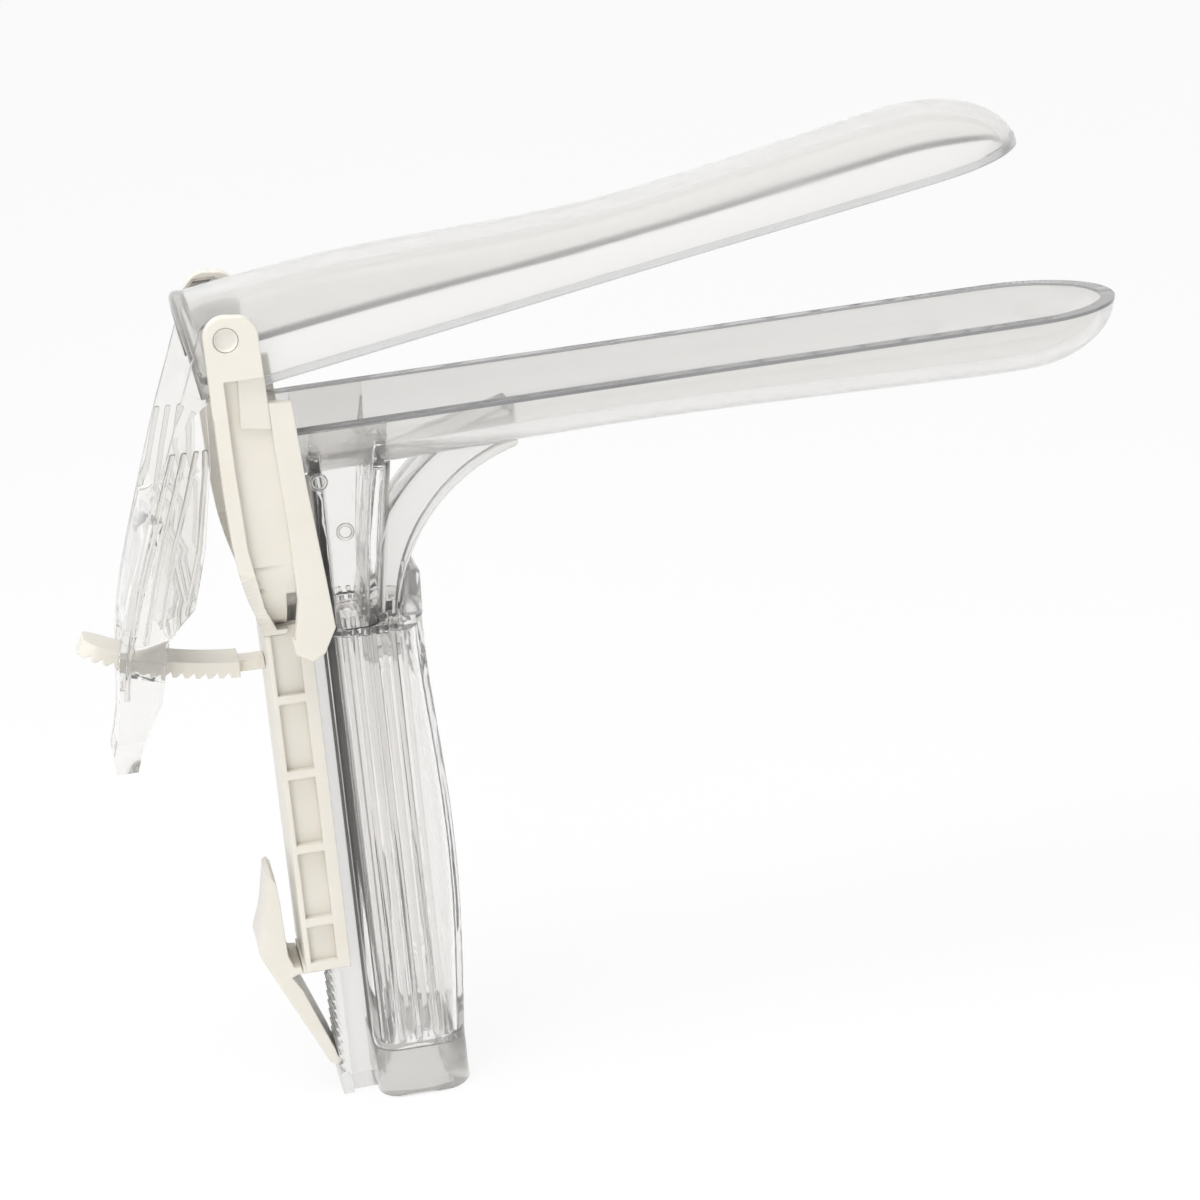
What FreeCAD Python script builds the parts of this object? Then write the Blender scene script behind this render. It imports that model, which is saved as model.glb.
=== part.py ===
"""Bivalve speculum in clear plastic, with an ivory yoke.

Millimetres. +Z runs up the handle, +X towards the tips of the bills, +Y to the far side.
The origin is the centre of the light socket's mouth, at the foot of the handle. Most outlines
are drawn from the hinge line, because everything but the handle is laid out around it.
"""
import FreeCAD, Part
import math
import os

V = FreeCAD.Vector

# Hinge line of the upper bill, measured from the centre of the light socket's mouth
PIVOT_X = -16.5
PIVOT_Z = 119.7
PIN_RADIUS = 1.7
PIN_CLEARANCE = 0.05
RUN_GAP = 0.15
FLEX_GAP = 0.1

# Bills: half width, depth or height, wall, and how far the rim is tilted up from +X
BILL_WALL = 1.8
BILL_NOSE = 15.0
LOWER_REACH = 132.3
LOWER_HALF_WIDTH = 14.0
LOWER_DEPTH = 9.9
LOWER_WAIST_DEPTH = 8.3
LOWER_TILT = 0.8
LOWER_DROP = 15.2
LOWER_START = 4.8
UPPER_REACH = 119.9
UPPER_HALF_WIDTH = 15.4
UPPER_HEIGHT = 8.9
UPPER_WAIST_HEIGHT = 7.6
UPPER_BASE_HEIGHT = 12.6
UPPER_TILT = 9.4
UPPER_DROP = 8.3
UPPER_START = -3.5
WAIST_AT = 58.0
WAIST_PINCH = 0.4
NOSE_STEPS = (0, 15, 30, 45, 58, 69, 78, 84, 88.5)

# Handle: a tube behind which the guide rail stands
GRIP_REAR = 9.8
GRIP_HALF_WIDTH = 10.0
GRIP_WALL = 1.6
GRIP_CORNER = 4.0
GRIP_FRONT_FOOT = 23.2
GRIP_FRONT_BELLY = 25.2
GRIP_FRONT_TOP = 24.0
GRIP_TOP = 46.0
BELLY_AT = 81.0
SOCKET_RADIUS = 5.1
SOCKET_LENGTH = 8.0
RIB_DEPTH = 0.8

# Guide rail and rack
RAIL_REAR = 4.4
RAIL_HEAD = 1.6
RAIL_HEAD_HALF = 5.6
RAIL_STEM_HALF = 4.3
RACK_PITCH = 1.5
RACK_DEPTH = 0.8
RACK_LOW = 116.4
RACK_TEETH = 16

# Neck under the lower bill
NECK_CLEARANCE = 0.4
NECK_FRONT_TOP = 21.5
NECK_FRONT_LOW = 17.5
NECK_WALL = 1.5

# Light guide: a band bent about a centre in front of the handle
GUIDE_CENTRE = (48.0, 50.0)
GUIDE_INNER = 24.9
GUIDE_THICK = 7.1
GUIDE_HALF_WIDTH = 5.0
GUIDE_END = 40.8
GUIDE_FOOT = 52.5

# Yoke
ARM_GAP = 0.2
ARM_PANEL = 1.8
ARM_FLANGE = 2.6
POCKET_FLOOR = 1.2
EAR_TOP = 2.9
EAR_LEDGE = 5.8
YOKE_REAR = -3.0
YOKE_WEB_FRONT = 4.2
YOKE_BEND_AT = 33.0
YOKE_BOTTOM = 47.2
YOKE_THROAT = 43.0
NECK_HALF_WIDTH = UPPER_HALF_WIDTH + ARM_GAP - NECK_CLEARANCE

# Slide channel
SLIDE_REAR = 1.0
SLIDE_FRONT = 7.6
SLIDE_HALF_WIDTH = 7.7
SLIDE_TOP = 44.6
SLIDE_BOTTOM = 98.4
LADDER_PITCH = 11.6
LADDER_FIRST = 55.2
LADDER_BAR = 1.3
LADDER_DEPTH = 1.1
LADDER_REAR_RIM = 0.8
LADDER_FRONT_RIM = 1.9

# Ratchet strap, bent about the hinge line
STRAP_RADIUS = 50.5
STRAP_THICK = 2.4
STRAP_HALF_WIDTH = 3.3
STRAP_STEM_HALF = 1.8
STRAP_STEM_INSET = 0.4
STRAP_ROUND_ANGLE = 3.0
NOTCH_DEPTH = 0.8
CATCH_ANGLE = 16.0

# Swing of the upper bill each way from rest, and the notches that it clicks through
BLADE_SWING = 11.0
NOTCHES_EACH_WAY = 6
NOTCH_ANGLE = BLADE_SWING / NOTCHES_EACH_WAY
STRAP_TIP_ANGLE = CATCH_ANGLE + BLADE_SWING + 2.0

# Thumb lever
LEVER_WALL = 1.8
LEVER_NECK_AT = 14.0
LEVER_WAIST_AT = 40.0
LEVER_WAIST_HALF = 9.1
LEVER_TAB_HALF = 4.6
LEVER_BOTTOM = 65.4
LEVER_WEB_TOP = 26.0
LEVER_WEB = 2.2
SLOT_HALF_WIDTH = STRAP_HALF_WIDTH + 0.5
SLOT_HEADROOM = 3.6
CATCH_GAP = 0.25

# Release latch
LATCH_HALF_WIDTH = 5.0
LATCH_ARM = 1.9
LATCH_HINGE = (0.6, 99.1)


def at(dx, y, dz):
    """A point given from the hinge line: dx forward, dz up."""
    return V(PIVOT_X + dx, y, PIVOT_Z + dz)


def plate(outline, y_low, y_high):
    """A side-view outline of (dx, dz) points, extruded from y_low to y_high."""
    wire = Part.makePolygon([at(dx, y_low, dz) for dx, dz in outline + outline[:1]])
    return Part.Face(wire).extrude(V(0, y_high - y_low, 0))


def smooth_plate(curved, straight, y_low, y_high):
    """A plate whose outline is a smooth curve through some points, closed by straight runs."""
    spline = Part.BSplineCurve()
    spline.interpolate([at(dx, y_low, dz) for dx, dz in curved])
    corners = [curved[-1]] + straight + [curved[0]]
    edges = [spline.toShape()]
    for start, end in zip(corners, corners[1:]):
        edges.append(Part.makeLine(at(start[0], y_low, start[1]), at(end[0], y_low, end[1])))
    return Part.Face(Part.Wire(edges)).extrude(V(0, y_high - y_low, 0))


def block(dx, half_y, dz):
    """A box from two (low, high) pairs, even about the middle plane."""
    size = (dx[1] - dx[0], 2 * half_y, dz[1] - dz[0])
    return Part.makeBox(*size, at(dx[0], -half_y, dz[0]))


def side_block(dx, y, dz):
    """A box on the far side, from three (low, high) pairs."""
    return Part.makeBox(dx[1] - dx[0], y[1] - y[0], dz[1] - dz[0], at(dx[0], y[0], dz[0]))


def mirrored(shape):
    """The same shape on the near side."""
    return shape.mirror(V(0, 0, 0), V(0, 1, 0))


def on_both_sides(shape):
    """A far-side shape and its mirror image."""
    return Part.Compound([shape, mirrored(shape)])


def across(radius, y_low, y_high, dx=0.0, dz=0.0):
    """A cylinder along Y."""
    return Part.makeCylinder(radius, y_high - y_low, at(dx, y_low, dz), V(0, 1, 0))


def front_profile(outline, dx_low, dx_high):
    """A front-view outline of (y, dz) points, extruded from dx_low to dx_high."""
    wire = Part.makePolygon([at(dx_low, y, dz) for y, dz in outline + outline[:1]])
    return Part.Face(wire).extrude(V(dx_high - dx_low, 0, 0))


def one_solid(shape):
    """The shape as one clean solid."""
    clean = shape.removeSplitter()
    return clean.Solids[0] if len(clean.Solids) == 1 else clean


def bill_section(along, half_width, depth):
    """Half an ellipse closed at the rim; a negative depth hangs below it."""
    ellipse = Part.Ellipse(V(along, half_width, 0), V(along, 0, depth), V(along, 0, 0))
    arc = Part.ArcOfEllipse(ellipse, 0, math.pi).toShape()
    chord = Part.makeLine(V(along, -half_width, 0), V(along, half_width, 0))
    return Part.Wire([arc, chord])


def bill_trough(stations, inset, start_shift):
    """The filled trough up to the nose, or its hollow when inset by the wall.

    Each station is (along, half width, depth).
    """
    side = math.copysign(1, stations[0][2])
    sections = []
    for index, (along, half_width, depth) in enumerate(stations):
        shift = start_shift if index == 0 else 0.0
        sections.append(bill_section(along + shift, half_width - inset, depth - side * inset))
    return Part.makeLoft(sections, True, False)


def bill_nose(station, inset):
    """The filled nose, a quarter of an ellipsoid in sections that shrink towards the tip."""
    along, half_width, depth = station
    side = math.copysign(1, depth)
    sections = []
    for degrees in NOSE_STEPS:
        reach = (BILL_NOSE - inset) * math.sin(math.radians(degrees))
        shrink = math.cos(math.radians(degrees))
        sections.append(bill_section(along + reach, (half_width - inset) * shrink,
                                     (depth - side * inset) * shrink))
    return Part.makeLoft(sections, True, False)


def bill_shell(stations):
    """A hollow bill, open at its back, lying along +X with its rim at the origin's height."""
    trough = bill_trough(stations, 0.0, 0.0).cut(bill_trough(stations, BILL_WALL, -2.0))
    nose = bill_nose(stations[-1], 0.0).cut(bill_nose(stations[-1], BILL_WALL))
    return trough.fuse(nose)


def placed_bill(shape, tilt, drop):
    """Turn a bill up by its tilt and hang its rim below the hinge line."""
    shape = shape.copy()
    shape.rotate(V(0, 0, 0), V(0, 1, 0), -tilt)
    shape.translate(at(0, 0, -drop))
    return shape


def lower_stations():
    """Stations of the lower bill, from the yoke to the nose."""
    end = LOWER_REACH - BILL_NOSE
    full, pinched = LOWER_HALF_WIDTH, LOWER_HALF_WIDTH - WAIST_PINCH
    return [
        (LOWER_START, full, -LOWER_DEPTH + 0.9),
        (WAIST_AT * 0.45, full, -LOWER_DEPTH + 0.8),
        (WAIST_AT, pinched, -LOWER_WAIST_DEPTH),
        (WAIST_AT + 0.6 * (end - WAIST_AT), full, -LOWER_DEPTH + 0.5),
        (end - 6.0, full, -LOWER_DEPTH),
        (end, full, -LOWER_DEPTH),
    ]


def upper_stations():
    """Stations of the upper bill, from its open back to the nose."""
    end = UPPER_REACH - BILL_NOSE
    full, pinched = UPPER_HALF_WIDTH, UPPER_HALF_WIDTH - WAIST_PINCH
    return [
        (UPPER_START, full, UPPER_BASE_HEIGHT),
        (WAIST_AT * 0.3, full, UPPER_BASE_HEIGHT),
        (WAIST_AT * 0.65, full, (UPPER_BASE_HEIGHT + UPPER_WAIST_HEIGHT) / 2),
        (WAIST_AT, pinched, UPPER_WAIST_HEIGHT),
        (WAIST_AT + 0.6 * (end - WAIST_AT), full, UPPER_HEIGHT - 0.5),
        (end - 6.0, full, UPPER_HEIGHT),
        (end, full, UPPER_HEIGHT),
    ]


def upper_envelope():
    """The filled upper trough, which the lever's cheeks are cut against."""
    return placed_bill(bill_trough(upper_stations(), 0.0, 0.0), UPPER_TILT, UPPER_DROP)


def lower_envelope():
    """The filled lower trough, which the neck is cut against."""
    return placed_bill(bill_trough(lower_stations(), 0.0, 0.0), LOWER_TILT, LOWER_DROP)


def light_guide():
    """The curved light pipe, from inside the handle to its end face in the lower trough."""
    centre_x, centre_drop = GUIDE_CENTRE
    outer = GUIDE_INNER + GUIDE_THICK
    y_low, y_high = -GUIDE_HALF_WIDTH, GUIDE_HALF_WIDTH
    band = across(outer, y_low, y_high, centre_x, -centre_drop)
    band = band.cut(across(GUIDE_INNER, y_low, y_high, centre_x, -centre_drop))
    left = centre_x - outer
    band = band.common(block((left, GUIDE_END), GUIDE_HALF_WIDTH, (-centre_drop, 0)))
    foot = block((left, left + GUIDE_THICK), GUIDE_HALF_WIDTH, (-GUIDE_FOOT, -centre_drop))
    return one_solid(band.fuse(foot))


def lower_bill():
    """The lower trough, with the light pipe let into its floor."""
    shell = placed_bill(bill_shell(lower_stations()), LOWER_TILT, LOWER_DROP)
    return one_solid(shell.cut(light_guide()))


def upper_bill():
    """The upper trough."""
    return one_solid(placed_bill(bill_shell(upper_stations()), UPPER_TILT, UPPER_DROP))


def rounded_section(dx_low, dx_high, half_width, corner, dz):
    """A level rounded rectangle, as a wire."""
    x_low, x_high = PIVOT_X + dx_low, PIVOT_X + dx_high
    z = PIVOT_Z + dz
    turn = math.sqrt(0.5) * corner
    spots = [
        (x_high - corner, -half_width + corner, 1, -1),
        (x_high - corner, half_width - corner, 1, 1),
        (x_low + corner, half_width - corner, -1, 1),
        (x_low + corner, -half_width + corner, -1, -1),
    ]
    arcs = []
    for index, (x, y, right, far) in enumerate(spots):
        on_x, on_y = V(x + right * corner, y, z), V(x, y + far * corner, z)
        middle = V(x + right * turn, y + far * turn, z)
        ends = (on_y, on_x) if index % 2 == 0 else (on_x, on_y)
        arcs.append((ends[0], middle, ends[1]))
    edges = []
    for index, (start, middle, end) in enumerate(arcs):
        edges.append(Part.Arc(start, middle, end).toShape())
        edges.append(Part.makeLine(end, arcs[(index + 1) % 4][0]))
    return Part.Wire(edges)


def grip_core(inset):
    """The filled grip, or its hollow when inset by the wall."""
    levels = [
        (-PIVOT_Z, GRIP_FRONT_FOOT),
        (-BELLY_AT - 14.0, GRIP_FRONT_BELLY - 0.4),
        (-BELLY_AT, GRIP_FRONT_BELLY),
        (-BELLY_AT + 16.0, (GRIP_FRONT_BELLY + GRIP_FRONT_TOP) / 2),
        (-GRIP_TOP, GRIP_FRONT_TOP),
    ]
    sections = []
    for dz, front in levels:
        sections.append(rounded_section(
            GRIP_REAR + inset, front - inset, GRIP_HALF_WIDTH - inset, GRIP_CORNER - inset, dz))
    return Part.makeLoft(sections, True, False)


def handle_shell():
    """The hollow grip, with a round light socket in its foot and ribs up its walls."""
    outside = grip_core(0.0)
    hollow = grip_core(GRIP_WALL)
    collar_top = -PIVOT_Z + SOCKET_LENGTH
    roof = -GRIP_TOP - GRIP_WALL
    room = block((GRIP_REAR, GRIP_FRONT_BELLY), GRIP_HALF_WIDTH, (collar_top, roof))
    shell = outside.cut(hollow.common(room))
    socket = Part.makeCylinder(SOCKET_RADIUS, SOCKET_LENGTH + 1, V(0, 0, -0.5))
    shell = shell.cut(socket)
    inner_side = GRIP_HALF_WIDTH - GRIP_WALL
    for dx in (13.2, 16.0, 18.8):
        rib = side_block((dx, dx + RIB_DEPTH), (inner_side - RIB_DEPTH, inner_side + 0.4),
                         (collar_top, roof))
        shell = shell.fuse(rib).fuse(mirrored(rib))
    return one_solid(shell.cut(light_guide()))


def guide_rail():
    """The T rail behind the grip, with the rack cut in its back."""
    top = -LOWER_DROP - LOWER_DEPTH + 1.0
    head = block((RAIL_REAR, RAIL_REAR + RAIL_HEAD), RAIL_HEAD_HALF, (-PIVOT_Z, top))
    stem = block((RAIL_REAR + RAIL_HEAD, GRIP_REAR), RAIL_STEM_HALF, (-PIVOT_Z, top))
    rail = head.fuse(stem)
    for index in range(RACK_TEETH):
        low = -RACK_LOW + index * RACK_PITCH
        notch = [(RAIL_REAR - 0.5, low), (RAIL_REAR, low), (RAIL_REAR + RACK_DEPTH, low + 0.35),
                 (RAIL_REAR, low + RACK_PITCH - 0.15), (RAIL_REAR - 0.5, low + RACK_PITCH - 0.15)]
        rail = rail.cut(plate(notch, -RAIL_HEAD_HALF, RAIL_HEAD_HALF))
    return one_solid(rail.cut(lower_envelope()))


def neck_gusset():
    """The ribbed walls between the grip and the lower bill."""
    top = -LOWER_DROP

    def core(inset, lift, drop):
        sections = [
            rounded_section(GRIP_REAR + inset, NECK_FRONT_LOW - inset, GRIP_HALF_WIDTH - inset,
                            2.2 - inset, -GRIP_TOP - drop),
            rounded_section(GRIP_REAR + inset, NECK_FRONT_LOW + 1.2 - inset,
                            NECK_HALF_WIDTH - 1.6 - inset, 2.2 - inset, -GRIP_TOP + 14.0),
            rounded_section(GRIP_REAR + inset, NECK_FRONT_TOP - inset, NECK_HALF_WIDTH - inset,
                            2.2 - inset, top + lift),
        ]
        return Part.makeLoft(sections, True, False)

    neck = core(0.0, 0.0, 0.0).cut(core(NECK_WALL, 1.0, 1.0))
    for y in (-7.5, 0.0, 7.5):
        rib = plate([(NECK_FRONT_LOW - 1.0, -GRIP_TOP), (NECK_FRONT_LOW + 0.9, -GRIP_TOP),
                     (NECK_FRONT_TOP + 0.9, top - 2.0), (NECK_FRONT_TOP - 1.0, top - 2.0)],
                    y - 0.6, y + 0.6)
        neck = neck.fuse(rib)
    neck = neck.cut(lower_envelope()).cut(light_guide())
    return one_solid(neck)


def yoke_bend(half_width, bottom, dx_low, dx_high):
    """A filled U in front view: straight sides that end in half an ellipse."""
    bend_drop = bottom - YOKE_BEND_AT
    centre = at(dx_low, 0, -YOKE_BEND_AT)
    if half_width >= bend_drop:
        ellipse = Part.Ellipse(centre + V(0, half_width, 0), centre - V(0, 0, bend_drop), centre)
        arc = Part.ArcOfEllipse(ellipse, 0, math.pi).toShape()
    else:
        ellipse = Part.Ellipse(centre - V(0, 0, bend_drop), centre + V(0, half_width, 0), centre)
        arc = Part.ArcOfEllipse(ellipse, -math.pi / 2, math.pi / 2).toShape()
    chord = Part.makeLine(centre - V(0, half_width, 0), centre + V(0, half_width, 0))
    bend = Part.Face(Part.Wire([arc, chord])).extrude(V(dx_high - dx_low, 0, 0))
    legs = block((dx_low, dx_high), half_width, (-YOKE_BEND_AT, EAR_TOP + 2.0))
    return legs.fuse(bend)


def yoke_frame():
    """The U frame: two arms with ears, front panels and outer pockets."""
    inner = UPPER_HALF_WIDTH + ARM_GAP
    outer = inner + ARM_FLANGE
    panel_front = 10.0
    frame = yoke_bend(outer, YOKE_BOTTOM, YOKE_REAR, YOKE_WEB_FRONT)
    frame = frame.cut(yoke_bend(inner, YOKE_THROAT, YOKE_REAR - 1, YOKE_WEB_FRONT + 1))
    back_line = [(YOKE_REAR, -4.0), (YOKE_REAR + 0.1, -16.0), (YOKE_REAR + 0.4, -28.0),
                 (YOKE_REAR + 1.7, -37.5), (YOKE_REAR + 3.5, -43.6), (SLIDE_REAR, -YOKE_BOTTOM)]
    outline = smooth_plate(back_line, [(YOKE_WEB_FRONT, -YOKE_BOTTOM), (YOKE_WEB_FRONT, 0.0),
                                       (YOKE_REAR, 0.0)], -outer, outer)
    frame = frame.common(outline)
    panel_line = [(4.0, -9.6), (panel_front - 0.3, -10.0), (panel_front + 0.4, -22.0),
                  (panel_front + 1.6, -36.0), (panel_front + 2.1, -43.0),
                  (panel_front + 0.2, -46.6), (6.6, -47.6), (4.4, -46.2), (3.6, -40.0)]
    panel = plate(panel_line, inner, inner + ARM_PANEL)
    ear_arc = across(3.1, inner, outer, YOKE_REAR + 3.1, 0.0)
    ear_front = across(2.6, inner, outer, 1.9, EAR_TOP - 2.6)
    ear = ear_arc.fuse(ear_front).fuse(
        plate([(YOKE_REAR, 0.0), (YOKE_REAR + 3.1, 3.1), (1.9, EAR_TOP), (4.5, 0.2),
               (4.6, -EAR_LEDGE), (4.6, -11.0), (YOKE_REAR, -11.0)], inner, outer))
    side = panel.fuse(ear)
    frame = frame.fuse(side).fuse(mirrored(side))
    pocket = plate([(-1.0, -EAR_LEDGE), (4.7, -EAR_LEDGE), (4.9, -16.0), (5.4, -27.0),
                    (5.6, -38.5), (4.6, -44.0), (2.6, -44.0), (0.9, -39.0), (-0.5, -30.0),
                    (-0.9, -18.0)], 6.0, outer + 1)
    keep = yoke_bend(inner + POCKET_FLOOR, YOKE_BOTTOM - 1.6, YOKE_REAR - 1, 7.0)
    pocket = pocket.cut(keep)
    frame = frame.cut(pocket).cut(mirrored(pocket))
    step = plate([(1.0, -EAR_LEDGE), (4.7, -EAR_LEDGE), (4.8, -13.4), (0.6, -12.8)],
                 inner, inner + POCKET_FLOOR + 0.5)
    frame = frame.fuse(step).fuse(mirrored(step))
    hole = across(PIN_RADIUS + PIN_CLEARANCE, -outer - 1, outer + 1)
    return one_solid(frame.cut(hole))


def slide_channel():
    """The channel round the T rail, with ladder pockets up its sides."""
    inner_half = RAIL_HEAD_HALF + RUN_GAP
    stem_half = RAIL_STEM_HALF + RUN_GAP
    rear_wall = RAIL_REAR - RUN_GAP
    lip_rear = RAIL_REAR + RAIL_HEAD + RUN_GAP
    span = (-SLIDE_BOTTOM, -SLIDE_TOP)
    channel = block((SLIDE_REAR, SLIDE_FRONT), SLIDE_HALF_WIDTH, span)
    channel = channel.cut(block((rear_wall, lip_rear), inner_half, (-SLIDE_BOTTOM - 1, -SLIDE_TOP + 1)))
    channel = channel.cut(block((rear_wall, SLIDE_FRONT + 1), stem_half,
                                (-SLIDE_BOTTOM - 1, -SLIDE_TOP + 1)))
    floor_y = SLIDE_HALF_WIDTH - LADDER_DEPTH
    tops = [-SLIDE_TOP - 1.2] + [-LADDER_FIRST - LADDER_BAR - LADDER_PITCH * n for n in range(4)]
    lows = [-LADDER_FIRST - LADDER_PITCH * n for n in range(4)] + [-SLIDE_BOTTOM + 1.4]
    for high, low in zip(tops, lows):
        pocket = side_block((SLIDE_REAR + LADDER_REAR_RIM, SLIDE_FRONT - LADDER_FRONT_RIM),
                            (floor_y, SLIDE_HALF_WIDTH + 1), (low, high))
        channel = channel.cut(pocket).cut(mirrored(pocket))
    hinge_x, hinge_drop = LATCH_HINGE
    web = block((hinge_x + FLEX_GAP / 2, rear_wall), LATCH_HALF_WIDTH, (-hinge_drop - 0.5, -SLIDE_BOTTOM + 0.5))
    return one_solid(channel.fuse(web).cut(yoke_frame()))


def strap_sector(inner_radius, outer_radius, half_width, start, end):
    """Part of a ring about the hinge line, by angles behind straight down."""
    ring = across(outer_radius, -half_width, half_width)
    ring = ring.cut(across(inner_radius, -half_width - 1, half_width + 1))
    far = outer_radius * 2
    wedge = [(0, 0)]
    for share in range(5):
        angle = math.radians(start + (end - start) * share / 4)
        wedge.append((-far * math.sin(angle), -far * math.cos(angle)))
    return ring.common(plate(wedge, -half_width, half_width))


def ratchet_strap():
    """The toothed strap, from its root on the slide to its rounded tip."""
    outer = STRAP_RADIUS + STRAP_THICK
    root = -math.degrees(math.asin((SLIDE_REAR - FLEX_GAP) / outer))
    band_start = CATCH_ANGLE - (NOTCHES_EACH_WAY + 1) * NOTCH_ANGLE
    stem = strap_sector(STRAP_RADIUS + STRAP_STEM_INSET, outer - STRAP_STEM_INSET, STRAP_STEM_HALF,
                        root - 1, band_start + 1)
    stem = stem.cut(block((SLIDE_REAR - FLEX_GAP, SLIDE_REAR + 5), STRAP_HALF_WIDTH, (-outer - 1, -40)))
    tip_start = STRAP_TIP_ANGLE - STRAP_ROUND_ANGLE
    band = strap_sector(STRAP_RADIUS, outer, STRAP_HALF_WIDTH, band_start, STRAP_TIP_ANGLE)
    angle = math.radians(tip_start)
    tip_centre = at(-STRAP_RADIUS * math.sin(angle), 0, -STRAP_RADIUS * math.cos(angle))
    radial = V(-math.sin(angle), 0, -math.cos(angle))
    rounder = Part.makeCylinder(STRAP_HALF_WIDTH, 3 * STRAP_THICK, tip_centre - radial * STRAP_THICK, radial)
    rounder = rounder.fuse(strap_sector(STRAP_RADIUS - 3, outer + 3, STRAP_HALF_WIDTH, band_start, tip_start))
    band = band.common(rounder)
    for index in range(-NOTCHES_EACH_WAY, NOTCHES_EACH_WAY + 1):
        valley = CATCH_ANGLE + index * NOTCH_ANGLE
        band = band.cut(notch_wedge(valley, outer - NOTCH_DEPTH, 0.0, STRAP_HALF_WIDTH + 1))
    return one_solid(stem.fuse(band))


def notch_wedge(valley, depth_radius, slack, half_width):
    """The saw-shaped room of one notch, at an angle behind straight down."""
    outer = STRAP_RADIUS + STRAP_THICK + 0.2 + slack
    corners = [(valley - 0.25 * NOTCH_ANGLE + slack * 0.8, outer), (valley, depth_radius + slack),
               (valley + 0.6 * NOTCH_ANGLE - slack * 0.8, outer)]
    points = []
    for degrees, radius in corners:
        angle = math.radians(degrees)
        points.append((-radius * math.sin(angle), -radius * math.cos(angle)))
    return plate(points, -half_width, half_width)


def lever_envelope(inset, bottom):
    """The lever in front view, narrowing from the ears to the thumb tab."""
    half = UPPER_HALF_WIDTH - inset
    waist = LEVER_WAIST_HALF - inset
    tab = LEVER_TAB_HALF - inset
    outline = [(half, 6.0), (half, -LEVER_NECK_AT), (waist, -LEVER_WAIST_AT), (tab, -bottom + 4.0),
               (tab - 2.6, -bottom), (-tab + 2.6, -bottom), (-tab, -bottom + 4.0),
               (-waist, -LEVER_WAIST_AT), (-half, -LEVER_NECK_AT), (-half, 6.0)]
    return front_profile(outline, -30.0, 10.0)


def thumb_lever():
    """Two side plates, the rear web with the strap's slot, the catch and the thumb tab."""
    back_line = [(-3.2, 1.0), (-6.6, -8.0), (-10.4, -17.6), (-15.2, -30.5), (-18.9, -42.0),
                 (-20.2, -49.0), (-21.0, -56.0), (-22.6, -62.0)]
    front_line = [(-14.6, -54.0), (-12.6, -44.6), (-8.4, -40.0), (-6.0, -31.0), (-4.0, -18.3),
                  (-3.6, -9.5), (-2.0, -5.2), (3.9, -5.2), (3.7, 0.6), (1.6, 2.4), (-1.6, 2.4)]
    tab_front = [(-22.4, -LEVER_BOTTOM), (-19.3, -LEVER_BOTTOM), (-18.2, -61.0), (-16.8, -58.2)]
    width = UPPER_HALF_WIDTH + 1
    side_view = smooth_plate(back_line, tab_front + front_line, -width, width)
    outside = lever_envelope(0.0, LEVER_BOTTOM)
    inside = lever_envelope(LEVER_WALL, LEVER_BOTTOM - 12.5)
    plates = outside.cut(inside).common(side_view)
    web_line = [(dx + LEVER_WEB, dz) for dx, dz in back_line]
    web_view = side_view.cut(smooth_plate(
        web_line, [(20.0, -62.0), (20.0, 1.6)], -width, width))
    web = outside.common(web_view).common(block((-30, 10), width, (-LEVER_BOTTOM, -LEVER_WEB_TOP)))
    catch_floor = STRAP_RADIUS + STRAP_THICK + CATCH_GAP
    catch_block = side_view.common(outside).cut(across(catch_floor, -width, width))
    lever = plates.fuse(web).fuse(catch_block)
    slot = strap_sector(STRAP_RADIUS - SLOT_HEADROOM, catch_floor, SLOT_HALF_WIDTH,
                        CATCH_ANGLE - BLADE_SWING, CATCH_ANGLE + 2 * BLADE_SWING)
    lever = lever.cut(slot)
    tooth = notch_wedge(CATCH_ANGLE, STRAP_RADIUS + STRAP_THICK - NOTCH_DEPTH, 0.15, STRAP_HALF_WIDTH)
    root = strap_sector(catch_floor - 0.3, catch_floor + 0.3, STRAP_HALF_WIDTH,
                        CATCH_ANGLE - 0.2, CATCH_ANGLE + 0.8)
    lever = lever.fuse(tooth.fuse(root))
    return one_solid(lever.cut(upper_envelope()))


def hinge_stubs():
    """The two stub pins that sit in the ears."""
    stub = across(PIN_RADIUS, UPPER_HALF_WIDTH, UPPER_HALF_WIDTH + ARM_GAP + ARM_FLANGE - 0.1)
    return on_both_sides(stub)


def release_latch():
    """The finger tab, the arm and the pawl, in one bent strip."""
    hinge_x, hinge_drop = LATCH_HINGE
    outer_line = [(-2.9, -84.4), (-3.5, -88.0), (-4.6, -92.4), (-5.4, -95.0), (-4.9, -96.9)]
    notch_low = RACK_PITCH - RACK_LOW
    pawl_face = RAIL_REAR - RUN_GAP
    rest = [(3.0, notch_low + 0.6), (3.9, notch_low - 0.2), (pawl_face, notch_low + 0.05),
            (RAIL_REAR + RACK_DEPTH - 0.15, notch_low + 0.42), (pawl_face, notch_low + 1.2),
            (4.0, notch_low + 2.3), (0.3, -102.4), (-1.1, -100.0), (-0.2, -hinge_drop - 0.5),
            (hinge_x - FLEX_GAP / 2, -hinge_drop - 0.5), (hinge_x - FLEX_GAP / 2, -hinge_drop + 0.5),
            (-0.6, -hinge_drop + 0.7), (-1.3, -96.4), (-1.5, -88.0), (-1.7, -84.8), (-2.2, -84.0)]
    return one_solid(smooth_plate(outer_line, rest, -LATCH_HALF_WIDTH, LATCH_HALF_WIDTH))


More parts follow.
